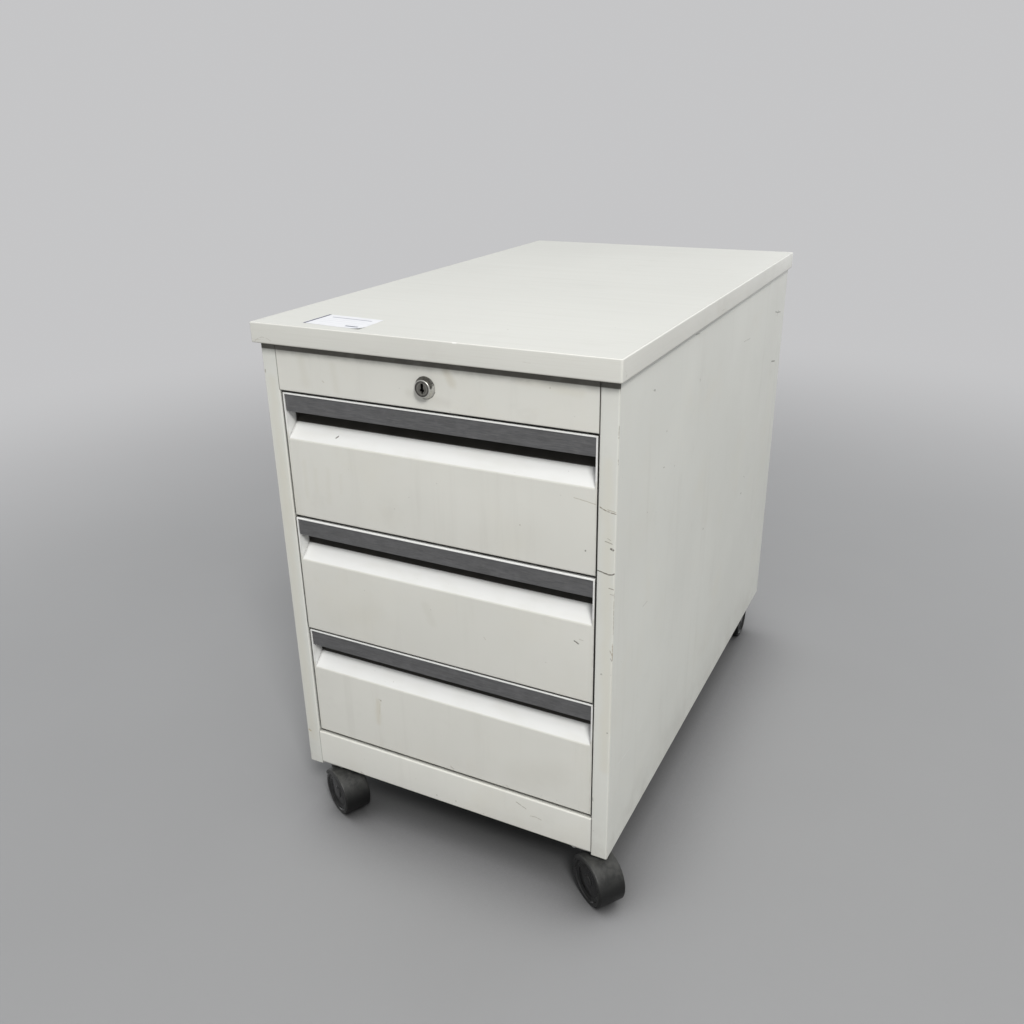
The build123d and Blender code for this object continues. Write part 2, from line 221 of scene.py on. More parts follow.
    def done(self, color=None, rough=None, metal=None, spec=None, coat=None, coat_rough=None):
        last = None
        for h, dist, strength in self.heights:
            n = self.node("ShaderNodeBump")
            self.put(n.inputs["Height"], h)
            n.inputs["Distance"].default_value = dist
            n.inputs["Strength"].default_value = strength
            if last is not None:
                self.put(n.inputs["Normal"], last)
            last = n.outputs["Normal"]
        if last is not None:
            self.put(self.bsdf.inputs["Normal"], last)
        b = self.bsdf.inputs
        if color is not None:
            self.put(b["Base Color"], (*color, 1.0) if isinstance(color, tuple) and len(color) == 3 else color)
        if rough is not None:
            self.put(b["Roughness"], rough)
        if metal is not None:
            self.put(b["Metallic"], metal)
        if spec is not None:
            b["Specular IOR Level"].default_value = spec
        if coat is not None:
            b["Coat Weight"].default_value = coat
            b["Coat Roughness"].default_value = coat_rough or 0.2
        return self.mat


# ------------------------------------------------------------------ materials
PAINT = (0.735, 0.728, 0.672)
PAINT_WARM = (0.69, 0.655, 0.545)
PRIMER = (0.115, 0.085, 0.058)
KEY_FACE = -0.3752
CHIP_RED = (0.30, 0.17, 0.11)


def painted(name, base=PAINT, marks=(), light_marks=(), stains=(), streaks=1.0, patina=1.0, specks=1.0, seed=0.0, edges=None, dirt_and_shade=(), seams=0.0, gap_shade=0.0, painted_light=None):
    """Satin powder coat: orange peel, slow mottling, vertical wiped streaks, age tint, specks, scratches down to the primer."""
    g = Graph(name)
    sh = (seed * 1.7, seed * 0.9, seed * 2.3)
    mott = g.noise(5.0, 4.0, 0.55, shift=sh)
    col = g.mix(g.step(mott, 0.35, 0.68, to=(0.0, 1.0)), base, tuple(c * 0.955 for c in base))
    tint = g.noise(8.5, 5.0, 0.6, shift=(sh[0] + 3.1, sh[1], sh[2]))
    col = g.mix(g.step(tint, 0.50, 0.80, to=(0.0, 0.26 * patina)), col, PAINT_WARM)
    # wiped dirt that runs down
    run = g.noise(1.0, 4.0, 0.6, stretch=(46.0, 46.0, 3.2), shift=sh)
    col = g.mix(g.step(run, 0.53, 0.76, to=(0.0, 0.14 * streaks)), col, (0.50, 0.485, 0.43))
    cloud = g.noise(21.0, 5.0, 0.62, shift=(sh[0], sh[1] + 5.0, sh[2]))
    col = g.mix(g.step(cloud, 0.56, 0.80, to=(0.0, 0.13 * patina)), col, (0.47, 0.455, 0.40))
    wide = g.wobbled(4.0, 45.0) if stains else None
    for pts, width, color, strength in stains:
        k = g.near(pts, width, soft=1.0, wobble=wide)
        col = g.mix(g.m("MULTIPLY", k, strength), col, color)
    # painted light: raises the colour toward near white where the mask picks out lit areas
    if painted_light is not None:
        col = g.mix(painted_light(g), col, (0.830, 0.832, 0.812))
    if edges is not None:
        k = edges(g)
        col = g.mix(k, col, (0.40, 0.375, 0.31))
    # real dust and painted shade, from the masks in this list
    for k, color in [gr(g) for gr in dirt_and_shade]:
        col = g.mix(k, col, color)
    # fine specks of dirt
    d = g.cells(115.0, vec=g.v("ADD", g.P, sh))
    gate = g.noise(60.0, 1.0, shift=(sh[0] + 9.0, sh[1], sh[2]))
    speck = g.m("MULTIPLY", g.step(d, 0.085, 0.045), g.step(gate, 0.60, 0.66))
    col = g.mix(g.m("MULTIPLY", speck, 0.42 * specks), col, (0.20, 0.175, 0.135))
    wob = g.wobbled(0.45, 320.0) if (marks or light_marks) else None
    gone = None
    for pts, width, color, strength in light_marks:
        k = g.near(pts, width, soft=0.8, wobble=wob)
        col = g.mix(g.m("MULTIPLY", k, strength), col, color)
    broken = g.step(g.noise(420.0, 2.0), 0.30, 0.46) if marks else None
    for pts, width, color, strength in marks:
        k = g.m("MULTIPLY", g.near(pts, width * 1.35, soft=0.55, wobble=wob), broken)
        col = g.mix(g.m("MULTIPLY", k, strength), col, color)
        gone = k if gone is None else g.m("MAXIMUM", gone, k)
    if gap_shade:
        # painted shade: near black where ambient occlusion finds other surfaces within 7 mm, in the narrow joints and
        # gaps
        ao = g.node("ShaderNodeAmbientOcclusion", samples=4)
        ao.inputs["Distance"].default_value = 0.007
        col = g.mix(g.step(ao.outputs["AO"], 0.62, 0.28, to=(0.0, gap_shade)), col, (0.020, 0.018, 0.014))
    rough = g.step(g.noise(14.0, 5.0, 0.6, shift=sh), 0.3, 0.7, to=(0.37, 0.47))
    if gone is not None and len(marks) < 6:
        rough = g.m("ADD", rough, g.m("MULTIPLY", gone, 0.3))
        g.bump(g.m("SUBTRACT", 1.0, gone), 0.12, 0.6)
    if seams:
        # dirt in the line where fascia or plinth meets the post
        d = g.m("ABSOLUTE", g.m("SUBTRACT", g.m("ABSOLUTE", g.xyz[0]), 0.195))
        z = g.xyz[2]
        span = g.m("MAXIMUM", g.m("GREATER_THAN", z, 0.5895), g.m("MULTIPLY", g.m("LESS_THAN", z, 0.122), 0.7))
        k = g.m("MULTIPLY", g.m("MULTIPLY", g.step(d, 0.0008, 0.0003), span), seams)
        col = g.mix(k, col, (0.055, 0.048, 0.036))
    g.bump(g.noise(620.0, 2.0, 0.5), 0.07, 0.35)
    g.bump(g.noise(7.0, 2.0, 0.4, shift=sh), 0.9, 0.35)
    return g.done(col, rough, 0.0, spec=0.42)


def laminate():
    g = Graph("laminate_white")
    base = (0.742, 0.742, 0.700)
    col = g.mix(g.step(g.noise(3.2, 3.0, 0.5), 0.35, 0.7), base, tuple(c * 0.965 for c in base))
    # faint wiped streaks across the width, like a woven print
    long1 = g.noise(1.0, 5.0, 0.6, stretch=(4.0, 150.0, 1.0))
    col = g.mix(g.step(long1, 0.42, 0.74, to=(0.0, 0.17)), col, (0.630, 0.630, 0.585))
    long2 = g.noise(1.0, 3.0, 0.6, stretch=(9.0, 420.0, 1.0), shift=(4.0, 0, 0))
    col = g.mix(g.step(long2, 0.55, 0.80, to=(0.0, 0.20)), col, (0.830, 0.830, 0.795))
    smear = g.noise(9.0, 5.0, 0.65, shift=(2.0, 7.0, 0), dist=0.4)
    col = g.mix(g.step(smear, 0.55, 0.80, to=(0.0, 0.20)), col, (0.60, 0.595, 0.545))
    d = g.cells(70.0)
    gate = g.noise(30.0, 1.0, shift=(1.0, 3.0, 0))
    col = g.mix(g.m("MULTIPLY", g.m("MULTIPLY", g.step(d, 0.055, 0.025), g.step(gate, 0.60, 0.65)), 0.5), col, (0.25, 0.24, 0.20))
    col = g.mix(g.m("MULTIPLY", g.near([(64.5, -304.1, 667)], 2.2, 0.6), 0.6), col, (0.24, 0.23, 0.19))
    # the glue line beside the edge band
    x = g.m("ABSOLUTE", g.xyz[0])
    y = g.m("ABSOLUTE", g.m("ADD", g.xyz[1], 0.0025))
    edge = g.m("MAXIMUM", g.m("SUBTRACT", x, 0.218), g.m("SUBTRACT", y, 0.3735))
    line = g.step(edge, -0.00055, -0.0001)
    col = g.mix(g.m("MULTIPLY", line, 0.55), col, (0.30, 0.28, 0.22))
    rough = g.step(long1, 0.3, 0.75, to=(0.44, 0.50))
    g.bump(long2, 0.02, 0.4)
    g.bump(g.noise(900.0, 2.0), 0.02, 0.3)
    return g.done(col, rough, 0.0, spec=0.45)


def edge_band():
    g = Graph("edge_band")
    base = (0.705, 0.700, 0.648)
    col = g.mix(g.step(g.noise(5.0, 3.0), 0.35, 0.7), base, tuple(c * 0.95 for c in base))
    grain = g.noise(1.0, 4.0, 0.6, stretch=(11.0, 11.0, 900.0))
    col = g.mix(g.step(grain, 0.45, 0.75, to=(0.0, 0.30)), col, (0.60, 0.59, 0.53))
    dirt = g.noise(16.0, 5.0, 0.65, shift=(3.0, 1.0, 8.0))
    col = g.mix(g.step(dirt, 0.55, 0.80, to=(0.0, 0.20)), col, (0.48, 0.46, 0.39))
    # darker along the lower edge; the upper edge is painted paler, a painted highlight on its rounded edge
    z = g.xyz[2]
    col = g.mix(g.step(z, 0.6462, 0.6440, to=(0.0, 0.55)), col, (0.40, 0.385, 0.33))
    col = g.mix(g.step(z, 0.6655, 0.6670, to=(0.0, 0.55)), col, (0.815, 0.812, 0.775))
    wob = g.wobbled(0.5, 260.0)
    brk = g.step(g.noise(380.0, 2.0), 0.34, 0.50)
    marks = [([(-214.2, -378, 645.9), (-209, -378, 649.6), (-203.4, -378, 651.2), (-196, -378, 650.0), (-191.8, -378, 647.8)], 0.9, (0.42, 0.39, 0.32), 0.55),
             ([(-214.5, -378, 647.5), (-206, -378, 648.0)], 0.8, (0.42, 0.39, 0.32), 0.4),
             ([(219.5, -371, 655), (220, -366, 651), (220, -369, 648)], 1.3, (0.36, 0.34, 0.29), 0.55),
             ([(220, -40, 650), (220, -22, 649.5)], 1.0, (0.40, 0.37, 0.31), 0.5),
             ([(118, -378, 655), (126, -378, 654.4)], 0.7, (0.45, 0.42, 0.36), 0.5),
             ([(-60, -378, 648), (-48, -378, 648.6)], 0.7, (0.45, 0.42, 0.36), 0.4)]
    for pts, w, c, s in marks:
        col = g.mix(g.m("MULTIPLY", g.m("MULTIPLY", g.near(pts, w, 0.6, wob), brk), s), col, c)
    nick = g.near([(41.2, -377.6, 666.4), (44.4, -377.6, 666.5)], 2.4, 0.7, wob)
    col = g.mix(g.m("MULTIPLY", nick, 0.8), col, (0.86, 0.86, 0.83))
    g.bump(g.m("SUBTRACT", 1.0, nick), 0.4, 0.7)
    g.bump(grain, 0.03, 0.5)
    return g.done(col, g.step(dirt, 0.3, 0.7, to=(0.36, 0.48)), 0.0, spec=0.42)


def brushed_strip():
    """Dark anodised strip, brushed along its length."""
    g = Graph("grip_brushed")
    fine = g.noise(1.0, 4.0, 0.7, stretch=(75.0, 900.0, 1500.0))
    mid = g.noise(1.0, 4.0, 0.6, stretch=(26.0, 60.0, 300.0), shift=(3.0, 0, 1.0))
    col = g.mix(g.step(fine, 0.30, 0.72), (0.125, 0.126, 0.128), (0.205, 0.204, 0.205))
    col = g.mix(g.step(mid, 0.42, 0.72, to=(0.0, 0.40)), col, (0.110, 0.109, 0.106))
    cloud = g.noise(75.0, 4.0, 0.65)
    col = g.mix(g.step(cloud, 0.48, 0.75, to=(0.0, 0.30)), col, (0.235, 0.228, 0.236))
    rough = g.step(fine, 0.25, 0.75, to=(0.42, 0.58))
    g.bump(fine, 0.012, 0.5)
    return g.done(col, rough, 0.55, spec=0.35)


def plastic(name, base, rough=(0.42, 0.56), dust=0.0, grain=0.03, scuff=0.0, low=1.0, spec=0.5):
    g = Graph(name)
    n = g.noise(55.0, 5.0, 0.6)
    col = g.mix(g.step(n, 0.35, 0.7), base, tuple(min(1, c * 1.25 + 0.002) for c in base))
    if low < 1.0:
        # painted shade: darkens the lower part of the hood
        col = g.mix(g.step(g.xyz[2], 0.066, 0.026), col, tuple(c * low for c in base))
    if dust:
        geo = g.node("ShaderNodeNewGeometry")
        up = g.v("DOT_PRODUCT", geo.outputs["Normal"], (0, 0, 1))
        d = g.m("MULTIPLY", g.step(up, 0.15, 0.95), g.step(g.noise(130.0, 5.0, 0.7), 0.30, 0.70))
        col = g.mix(g.m("MULTIPLY", d, dust), col, (0.30, 0.295, 0.27))
    if scuff:
        s1 = g.noise(1.0, 3.0, 0.7, stretch=(700.0, 90.0, 160.0), shift=(1.0, 2.0, 3.0))
        s2 = g.noise(1.0, 3.0, 0.7, stretch=(110.0, 640.0, 150.0), shift=(7.0, 2.0, 3.0))
        k = g.m("MAXIMUM", g.step(s1, 0.66, 0.74), g.step(s2, 0.67, 0.75))
        col = g.mix(g.m("MULTIPLY", k, scuff), col, (0.22, 0.22, 0.215))
    g.bump(g.noise(1500.0, 2.0), grain, 0.5)
    return g.done(col, g.step(n, 0.3, 0.7, to=rough), 0.0, spec=spec)


def zinc(name="zinc_plated", base=(0.60, 0.60, 0.585)):
    g = Graph(name)
    sp = g.node("ShaderNodeTexVoronoi")
    g.put(sp.inputs["Vector"], g.P)
    sp.inputs["Scale"].default_value = 85.0
    tone = g.v("DOT_PRODUCT", sp.outputs["Color"], (0.33, 0.33, 0.33))
    col = g.mix(g.step(tone, 0.2, 0.8), tuple(c * 0.92 for c in base), base)
    roll = g.noise(1.0, 3.0, 0.6, stretch=(40.0, 3.0, 900.0))
    col = g.mix(g.step(roll, 0.45, 0.75, to=(0.0, 0.3)), col, tuple(c * 0.7 for c in base))
    haze = g.noise(28.0, 4.0, 0.6)
    col = g.mix(g.step(haze, 0.5, 0.8, to=(0.0, 0.2)), col, (0.58, 0.555, 0.49))
    g.bump(roll, 0.01, 0.5)
    return g.done(col, g.step(haze, 0.3, 0.7, to=(0.32, 0.50)), 1.0)


def nickel(name, plug=False):
    """Turned satin nickel, tarnished: rings on the face; the flank is painted dark and mottled on top and bright below
    right, a painted reflection.
    """
    g = Graph(name)
    x, z = g.xyz[0], g.m("SUBTRACT", g.xyz[2], 0.614)
    r = g.m("SQRT", g.m("ADD", g.m("MULTIPLY", x, x), g.m("MULTIPLY", z, z)))
    turned = g.noise(1.0, 3.0, 0.6, vec=g.join(g.m("MULTIPLY", r, 2600.0), 0.0, 0.0))
    blot = g.noise(620.0, 4.0, 0.65)
    if plug:
        col = g.mix(g.step(turned, 0.3, 0.7), (0.195, 0.188, 0.170), (0.120, 0.116, 0.104))
        col = g.mix(g.step(blot, 0.48, 0.72, to=(0.0, 0.6)), col, (0.060, 0.057, 0.048))
        ring = g.step(r, 0.0072, 0.0076)
        col = g.mix(g.m("MULTIPLY", ring, 0.8), col, (0.050, 0.047, 0.040))
        # painted shade: near black inside the keyway, behind the plug's face
        col = g.mix(g.step(g.xyz[1], KEY_FACE + 0.00015, KEY_FACE + 0.0005), col, (0.008, 0.0075, 0.006))
        arc = g.m("MULTIPLY", g.step(r, 0.0052, 0.0056), g.step(r, 0.0062, 0.0058))
        col = g.mix(g.m("MULTIPLY", arc, 0.5), col, (0.36, 0.35, 0.32))
        metal = 0.55
    else:
        col = g.mix(g.step(turned, 0.3, 0.7), (0.72, 0.71, 0.67), (0.55, 0.54, 0.50))
        col = g.mix(g.step(blot, 0.48, 0.72, to=(0.0, 0.45)), col, (0.26, 0.25, 0.22))
        flank = g.step(r, 0.0094, 0.0097)
        ang = g.m("ARCTAN2", z, x)
        wob = g.m("MULTIPLY", g.m("SUBTRACT", g.noise(260.0, 3.0), 0.5), 1.1)
        a2 = g.m("ADD", ang, wob)
        # painted reflection: the upper part of the flank is darkened and made less metallic
        up = g.m("MULTIPLY", g.step(a2, 0.02, 0.30), g.step(a2, 3.05, 2.6))
        dark = g.mix(g.step(blot, 0.38, 0.62), (0.010, 0.0095, 0.008), (0.070, 0.067, 0.055))
        col = g.mix(g.m("MULTIPLY", g.m("MULTIPLY", flank, up), 0.95), col, dark)
        seat = g.step(r, 0.0085, 0.00815)
        col = g.mix(seat, col, (0.03, 0.028, 0.024))
        metal = g.m("SUBTRACT", 0.9, g.m("MULTIPLY", g.m("MULTIPLY", flank, up), 0.82))
    g.bump(turned, 0.012, 0.6)
    return g.done(col, g.step(blot, 0.3, 0.7, to=(0.30, 0.48)), metal, spec=0.4 if plug else 0.14)


def paper():
    g = Graph("label_paper")
    col = g.mix(g.step(g.noise(60.0, 4.0), 0.4, 0.7), (0.822, 0.828, 0.852), (0.790, 0.796, 0.822))
    # a plain ruled label with nothing written on it
    x, y = g.xyz[0], g.xyz[1]
    s = g.m("ADD", y, g.m("MULTIPLY", g.m("ADD", x, 0.120), 0.065))
    for row, hw, tone in ((-0.3235, 0.0012, 0.62), (-0.3320, 0.0004, 0.22), (-0.3400, 0.0004, 0.22), (-0.3480, 0.0004, 0.22)):
        line = g.step(g.m("ABSOLUTE", g.m("SUBTRACT", s, row)), hw * 1.5, hw)
        span = g.m("MULTIPLY", g.step(x, -0.1475, -0.1470), g.step(x, -0.0915, -0.0920))
        col = g.mix(g.m("MULTIPLY", g.m("MULTIPLY", line, span), tone), col, (0.24, 0.25, 0.31))
    bar = g.step(g.m("ABSOLUTE", g.m("ADD", x, 0.1578)), 0.0018, 0.0014)
    col = g.mix(g.m("MULTIPLY", bar, 0.90), col, (0.030, 0.036, 0.085))
    foot = g.m("MULTIPLY", g.step(g.m("ABSOLUTE", g.m("SUBTRACT", s, -0.3545)), 0.0020, 0.0014), g.m("MULTIPLY", g.step(x, -0.1060, -0.1055), g.step(x, -0.0880, -0.0885)))
    col = g.mix(g.m("MULTIPLY", foot, 0.85), col, (0.035, 0.055, 0.110))
    g.bump(g.noise(900.0, 3.0), 0.02, 0.4)
    return g.done(col, 0.6, 0.0, spec=0.3)


# ------------------------------------------------------------------ mesh helpers
def link(name, me):
    ob = bpy.data.objects.new(name, me)
    scene.collection.objects.link(ob)
    return ob


def refine(node, width=0.3, segments=2, angle=32.0, mat=None, weld=0.004):
    """A rounded-edge piece made from the CAD node's own shape, which it stands for."""
    src = CAD[node]
    me = src.data.copy()
    me.name = node + "_shape"
    bm = bmesh.new()
    bm.from_mesh(me)
    bmesh.ops.remove_doubles(bm, verts=bm.verts, dist=weld * MM)
    bmesh.ops.dissolve_degenerate(bm, edges=bm.edges, dist=0.002 * MM)
    bmesh.ops.dissolve_limit(bm, angle_limit=math.radians(0.6), verts=bm.verts, edges=bm.edges, use_dissolve_boundaries=False)
    for f in bm.faces:
        f.smooth = True
    bm.normal_update()
    fresh = bpy.data.meshes.new(node + "_fine")
    bm.to_mesh(fresh)
    bm.free()
    bpy.data.meshes.remove(me)
    fresh.set_sharp_from_angle(angle=math.radians(angle))
    ob = link(node + "_fine", fresh)
    if width:
        b = ob.modifiers.new("rounded", "BEVEL")
        b.width = width * MM
        b.segments = segments
        b.limit_method = "ANGLE"
        b.angle_limit = math.radians(angle)
        b.harden_normals = False
        b.use_clamp_overlap = True
        b.miter_outer = "MITER_SHARP"
    if isinstance(mat, list):
        for m in mat:
            fresh.materials.append(m)
        for f in fresh.polygons:
            f.material_index = 1 if f.center.y < -0.36741 else 0
    elif mat is not None:
        fresh.materials.append(mat)
    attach(ob, BODY_OF[node])
    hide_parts(node)
    return ob


def lathe(name, profile, n=96, close=True):
    """Solid of revolution about the Y axis: profile of (radius, y) in millimetres, a closed loop or one that ends on the axis."""
    verts, faces, rings = [], [], []
    for r, y in profile:
        if r < 1e-6:
            verts.append((0, y * MM, 0))
            rings.append([len(verts) - 1])
        else:
            start = len(verts)
            for k in range(n):
                a = 2 * math.pi * k / n
                verts.append((r * MM * math.cos(a), y * MM, r * MM * math.sin(a)))
            rings.append(list(range(start, start + n)))
    pairs = list(zip(rings, rings[1:])) + ([(rings[-1], rings[0])] if close else [])
    for a, b in pairs:
        for k in range(n):
            q = (k + 1) % n
            if len(a) == 1 and len(b) == 1:
                break
            if len(a) == 1:
                faces.append((a[0], b[k], b[q]))
            elif len(b) == 1:
                faces.append((a[k], b[0], a[q]))
            else:
                faces.append((a[k], b[k], b[q], a[q]))
    me = bpy.data.meshes.new(name)
    me.from_pydata(verts, [], faces)
    bm = bmesh.new()
    bm.from_mesh(me)
    bmesh.ops.recalc_face_normals(bm, faces=bm.faces)
    for f in bm.faces:
        f.smooth = True
    bm.to_mesh(me)
    bm.free()
    me.set_sharp_from_angle(angle=math.radians(38))
    return link(name, me)


def rounded(points, radii, n=5):
    """Closed outline with arcs of n segments at each point that has a radius."""
    out = []
    count = len(points)
    for i, p in enumerate(points):
        r = radii.get(i, 0.0) if isinstance(radii, dict) else radii
        if not r:
            out.append(p)
            continue
        a, b = points[i - 1], points[(i + 1) % count]
        ua, ub = Vector((a[0] - p[0], a[1] - p[1])).normalized(), Vector((b[0] - p[0], b[1] - p[1])).normalized()
        half = math.acos(max(-1.0, min(1.0, ua.dot(ub)))) / 2
        d = r / math.tan(half)
        s, e = Vector(p) + ua * d, Vector(p) + ub * d
        c = Vector(p) + (ua + ub).normalized() * (r / math.sin(half))
        a0, a1 = math.atan2(s.y - c.y, s.x - c.x), math.atan2(e.y - c.y, e.x - c.x)
        while a1 - a0 > math.pi:
            a1 -= 2 * math.pi
        while a1 - a0 < -math.pi:
            a1 += 2 * math.pi
        for k in range(n + 1):
            t = a0 + (a1 - a0) * k / n
            out.append((c.x + r * math.cos(t), c.y + r * math.sin(t)))
    return out


def wheel(place, side):
    """One half of a twin wheel: dished outer face with a closed hub, a thin raised rim and a tread with rounded corners."""
    cx, cy, turn = CASTORS[place]
    t = math.radians(turn)
    ax = Vector((-math.sin(t), math.cos(t), 0.0))
    out = Vector((math.cos(t), math.sin(t), 0.0))
    hub = Vector((cx, cy, 0)) + out * 20.0 + Vector((0, 0, 30.0))
    s = 1.0 if side == "a" else -1.0
    loop = rounded([(2.6, 5.7), (30.0, 5.7), (30.0, 16.4), (25.6, 16.4), (24.6, 14.5), (20.6, 14.35), (20.2, 14.0), (19.4, 14.0), (19.0, 14.3),
                    (8.4, 14.2), (7.6, 15.85), (0.0, 15.95), (0.0, 15.3), (2.6, 15.3)], {1: 0.9, 2: 1.6, 3: 0.5, 4: 0.6, 9: 0.5, 10: 0.5}, 4)
    n = 96
    verts, faces, rings = [], [], []
    for r, w in loop:
        if r < 1e-6:
            verts.append((hub + ax * (w * s)) * MM)
            rings.append([len(verts) - 1])
            continue
        start = len(verts)
        for k in range(n):
            a = 2 * math.pi * k / n
            verts.append((hub + ax * (w * s) + out * (r * math.cos(a)) + Vector((0, 0, r * math.sin(a)))) * MM)
        rings.append(list(range(start, start + n)))
    for a, b in zip(rings, rings[1:] + rings[:1]):
        if len(a) == 1 and len(b) == 1:
            continue
        for k in range(n):
            q = (k + 1) % n
            if len(a) == 1:
                faces.append((a[0], b[k], b[q]))
            elif len(b) == 1:
                faces.append((a[k], b[0], a[q]))
            else:
                faces.append((a[k], b[k], b[q], a[q]))
    me = bpy.data.meshes.new("wheel_%s_%s" % (side, place))
    me.from_pydata([tuple(v) for v in verts], [], faces)
    bm = bmesh.new()
    bm.from_mesh(me)
    bmesh.ops.recalc_face_normals(bm, faces=bm.faces)
    for f in bm.faces:
        f.smooth = True
    bm.to_mesh(me)
    bm.free()
    me.set_sharp_from_angle(angle=math.radians(40))
    me.materials.append(wheel_mat)
    node = "castor_wheel_%s_%s" % (side, place)
    ob = link(node + "_fine", me)
    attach(ob, BODY_OF[node])
    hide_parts(node)
    return ob


# ------------------------------------------------------------------ finishes of the parts
DARK, BROWN, RUST = (0.070, 0.058, 0.042), (0.165, 0.128, 0.082), (0.29, 0.225, 0.155)
WHITE_CUT = (0.86, 0.86, 0.83)

right_marks = [
    ([(196.8, -369, 514.2), (203, -369, 511.4), (209, -369, 509.9), (214.2, -369, 509.2)], 1.1, BROWN, 0.85),
    ([(205.5, -369, 512.5), (214.0, -369, 511.2)], 0.8, (0.33, 0.28, 0.20), 0.7),
    ([(203.5, -369, 477.8), (211.2, -369, 476.2)], 0.9, BROWN, 0.75),
    ([(206.0, -369, 481.5), (209.5, -369, 479.8)], 0.7, BROWN, 0.5),
    ([(210.2, -369, 470.6), (212.4, -369, 469.6)], 2.2, DARK, 0.9),
    ([(196.0, -369, 443.8), (202, -369, 442.6), (208.0, -369, 441.3), (212.0, -369, 441.8), (214.2, -369, 443.2)], 1.4, DARK, 0.85),
    ([(209.0, -369, 425.9), (214.2, -369, 425.3)], 1.0, BROWN, 0.75),
    ([(210.5, -369, 419.5), (214.2, -369, 419.0)], 0.8, BROWN, 0.5),
    ([(214.8, -368.6, 421), (214.9, -368.5, 398), (214.9, -368.5, 372)], 0.9, BROWN, 0.6),
    ([(214.6, -368.6, 361), (214.9, -368.4, 341)], 1.0, RUST, 0.8),
    ([(212.0, -369, 352.5), (214.6, -369, 347.0)], 0.9, RUST, 0.65),
    ([(213.0, -369, 343.0), (214.8, -368.8, 339.0)], 1.0, DARK, 0.5),
    ([(203.0, -369, 320.9)], 1.9, DARK, 0.7),
    ([(211.6, -369, 247.8)], 1.6, DARK, 0.65),
    ([(196.3, -369, 154.0), (196.6, -369, 149.0)], 0.9, DARK, 0.6),
    ([(214.8, -368.6, 600.0), (214.9, -368.5, 588.0)], 1.0, BROWN, 0.6),
    ([(214.8, -368.6, 566.0), (214.9, -368.5, 561.0)], 0.9, BROWN, 0.6),
    ([(215, 304.0, 586.0), (215, 320.0, 582.4), (215, 341.0, 579.6)], 1.6, (0.17, 0.16, 0.13), 0.8),
    ([(215, 318.0, 577.6), (215, 326.0, 584.4)], 1.5, (0.17, 0.16, 0.13), 0.75),
    ([(215, 309.0, 507.4), (215, 332.0, 502.8)], 2.1, (0.15, 0.14, 0.11), 0.85),
    ([(215, 111.0, 580.2), (215, 146.0, 577.4)], 1.1, (0.33, 0.32, 0.27), 0.55),
    ([(215, -269.8, 609.8), (215, -266.0, 608.9)], 2.2, (0.19, 0.18, 0.15), 0.75),
    ([(215, 170.0, 334.0), (215, 174.0, 333.2)], 2.6, (0.19, 0.18, 0.15), 0.7),
    ([(215, 180.0, 358.5), (215, 186.0, 355.0)], 1.4, (0.25, 0.24, 0.20), 0.6),
    ([(215, -36.8, 358.8)], 2.8, (0.14, 0.13, 0.10), 0.8),
    ([(215, -219.0, 550.3)], 2.2, (0.23, 0.22, 0.18), 0.6),
    ([(215, -274.3, 474.7)], 1.8, (0.23, 0.22, 0.18), 0.6),
    ([(215, -183.3, 497.5)], 2.4, (0.25, 0.24, 0.20), 0.6),
    ([(215, -225.6, 510.0), (215, -220.0, 508.6)], 1.3, (0.25, 0.24, 0.20), 0.5),
    ([(215, -99.1, 579.8), (215, -97.0, 577.0)], 2.0, (0.27, 0.26, 0.22), 0.5),
    ([(215, -128.0, 638.6), (215, -112.0, 636.8)], 1.4, (0.22, 0.21, 0.17), 0.6),
    ([(215, -260.7, 359.3), (215, -276.3, 359.8)], 0.9, (0.33, 0.32, 0.27), 0.55),
]
right_light = [
    ([(215, -256.0, 192.0), (215, -273.5, 186.7)], 1.0, WHITE_CUT, 0.65),
    ([(215, -303.0, 183.0), (215, -322.0, 184.4), (215, -339.5, 186.5)], 1.2, WHITE_CUT, 0.7),
    ([(215, -296.0, 201.0), (215, -318.0, 205.0)], 0.8, WHITE_CUT, 0.3),
    ([(215, 30.0, 240.0), (215, 62.0, 236.0)], 0.8, WHITE_CUT, 0.35),
]
left_marks = [
    ([(-212.3, -369, 611.5), (-212.8, -369, 608.5)], 1.1, BROWN, 0.6),
    ([(-214.6, -368.6, 560.0), (-214.8, -368.5, 552.0)], 1.0, BROWN, 0.6),
    ([(-214.7, -368.6, 431.0), (-214.8, -368.5, 422.0)], 1.1, BROWN, 0.55),
    ([(-212.5, -369, 119.6), (-208.9, -369, 118.0)], 1.6, (0.42, 0.32, 0.16), 0.8),
    ([(-215, -250.0, 420.0), (-215, -228.0, 426.0)], 1.1, (0.25, 0.24, 0.20), 0.6),
    ([(-215, 90.0, 300.0), (-215, 118.0, 292.0)], 0.9, (0.30, 0.29, 0.25), 0.5),
    ([(-215, 240.0, 540.0)], 2.4, (0.2, 0.19, 0.15), 0.6),
    ([(-215, 312.0, 170.0), (-215, 330.0, 176.0)], 1.6, (0.2, 0.19, 0.15), 0.6),
]
left_light = [([(-215, -120.0, 210.0), (-215, -92.0, 214.0)], 0.9, WHITE_CUT, 0.45),
              ([(-215, 20.0, 500.0), (-215, 44.0, 489.0)], 0.8, WHITE_CUT, 0.35)]


def shade_under_top(g):
    # painted shade: darkens the paint in the band under the board's overhang, where its shadow falls
    z = g.xyz[2]
    film = g.m("MULTIPLY", g.step(z, 0.6270, 0.6366), g.step(g.noise(45.0, 4.0, 0.6), 0.25, 0.7, to=(0.10, 0.34)))
    k = g.m("MAXIMUM", film, g.m("MULTIPLY", g.step(z, 0.6352, 0.6368), g.step(g.noise(60.0, 4.0, 0.6), 0.2, 0.6, to=(0.86, 0.94))))
    return k, (0.050, 0.045, 0.034)


